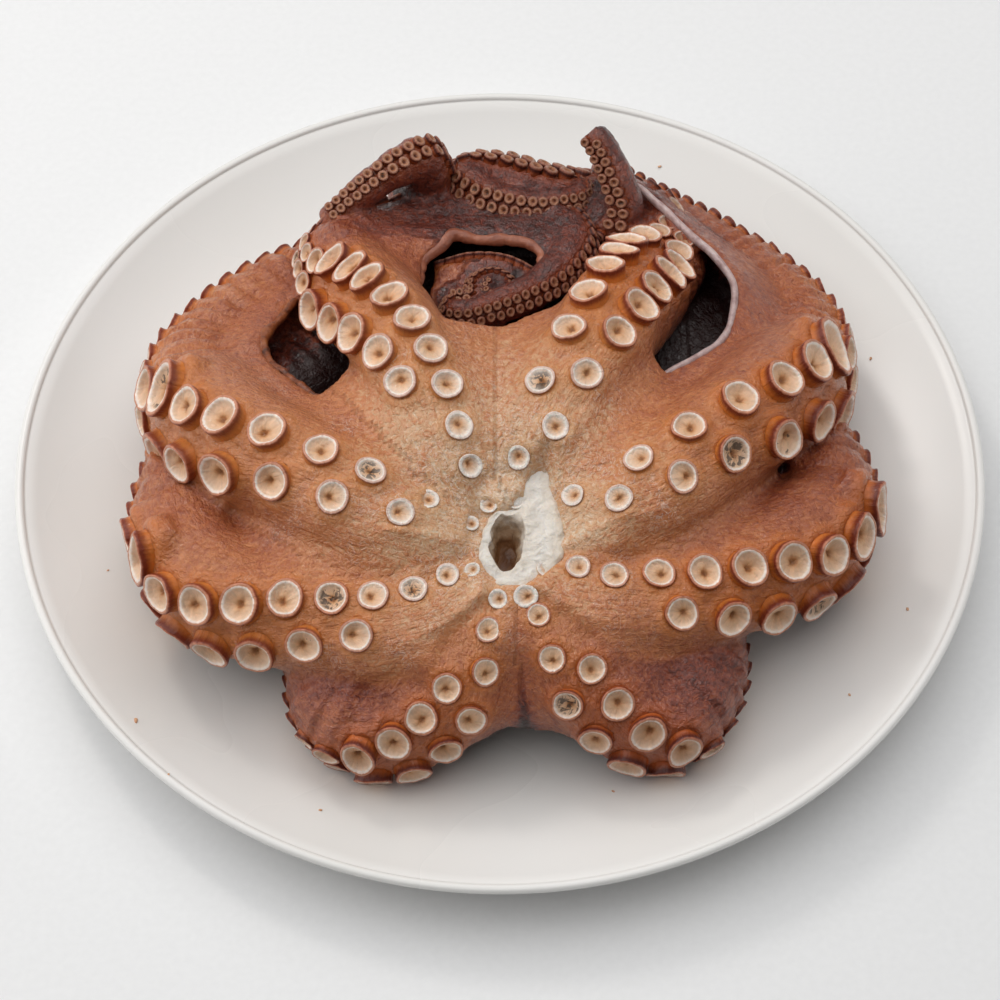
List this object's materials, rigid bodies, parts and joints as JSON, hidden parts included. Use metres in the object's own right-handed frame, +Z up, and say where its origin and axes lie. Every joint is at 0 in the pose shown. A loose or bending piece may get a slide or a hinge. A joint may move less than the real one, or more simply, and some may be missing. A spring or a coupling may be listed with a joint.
{
  "type": "boiled octopus on a plate",
  "caption": "Whole boiled octopus lying mouth up on a round white coupe plate, its arms rolled over and curled back under with the suckers outwards.",
  "frame": {"origin": "centre of the plate's foot, on the table", "axes": "+Z up, square to the table; +Y from the octopus's mouth towards its back coils, away from the viewer; +X to the right"},
  "size_m": [0.32, 0.32, 0.0846],
  "materials": {
    "octopus_skin": "wet boiled octopus skin, golden brown to dark red-brown, glossy; rubber stands in for flesh",
    "plate_glaze": "white glazed porcelain, glossy"
  },
  "bodies": {
    "root": {"octopus": "octopus_skin", "plate": "plate_glaze"}
  },
  "joints": []
}
